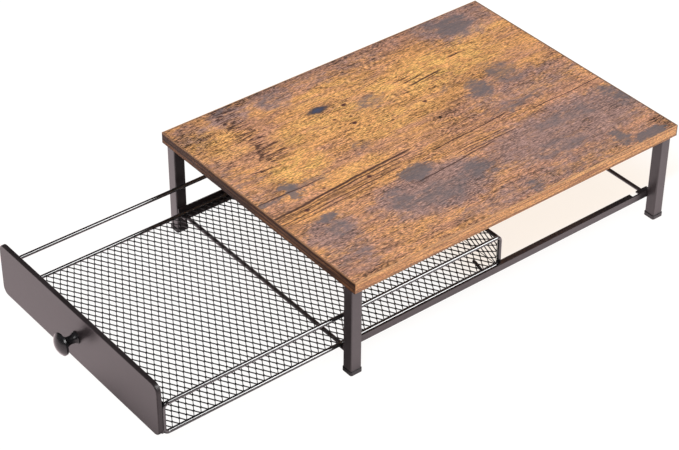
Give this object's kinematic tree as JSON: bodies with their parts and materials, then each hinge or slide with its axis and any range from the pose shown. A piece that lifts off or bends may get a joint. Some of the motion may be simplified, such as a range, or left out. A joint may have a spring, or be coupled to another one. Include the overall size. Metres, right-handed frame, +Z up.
{
  "type": "coffee pod drawer",
  "caption": "Wooden stand on square metal legs with a wire basket drawer that slides out on side ledges and has a flat front panel with a round knob.",
  "frame": {"origin": "on the table under the middle of the part: midway between the knob's tip and the board's back edge, and midway between the board's sides", "axes": "+Z is up, the drawer pulls out towards -Y, +X is to the right-hand side seen from the front"},
  "size_m": [0.296, 0.6175, 0.111],
  "materials": {
    "board_wood": "rustic brown wood-grain laminate",
    "edge_wood": "light brown wood-grain edge band",
    "grey_paint": "satin dark grey powder coat",
    "panel_paint": "board painted satin dark grey",
    "black_wire": "glossy black coat",
    "black_plastic": "glossy black",
    "foot_plastic": "matt black",
    "zinc": "zinc plated"
  },
  "bodies": {
    "stand": {"top_board": "board_wood", "edge_band_front": "edge_wood", "edge_band_rear": "edge_wood", "edge_band_left": "edge_wood", "edge_band_right": "edge_wood", "leg_front_left": "grey_paint", "leg_front_right": "grey_paint", "leg_rear_left": "grey_paint", "leg_rear_right": "grey_paint", "leg_plate_front_left": "grey_paint", "leg_plate_front_right": "grey_paint", "leg_plate_rear_left": "grey_paint", "leg_plate_rear_right": "grey_paint", "plate_screws": "zinc", "foot_cap_front_left": "foot_plastic", "foot_cap_front_right": "foot_plastic", "foot_cap_rear_left": "foot_plastic", "foot_cap_rear_right": "foot_plastic", "ledge_left": "grey_paint", "ledge_right": "grey_paint", "crossbar_front": "grey_paint", "crossbar_rear": "grey_paint"},
    "drawer": {"front_panel": "panel_paint", "knob": "black_plastic", "knob_screw": "zinc", "strap_left": "black_wire", "strap_right": "black_wire", "strap_screws": "zinc", "side_wire_left": "black_wire", "side_wire_right": "black_wire", "front_rim_wire": "black_wire", "front_base_wire": "black_wire", "rear_rim_wire": "black_wire", "floor_mesh": "black_wire", "rear_mesh": "black_wire", "guide_hook_left": "black_wire", "guide_hook_right": "black_wire"}
  },
  "joints": [
    {"name": "drawer_slide", "type": "slide", "parent": "stand", "child": "drawer", "axis": [0, -1, 0], "range_m": [-0.198, 0.168]}
  ]
}
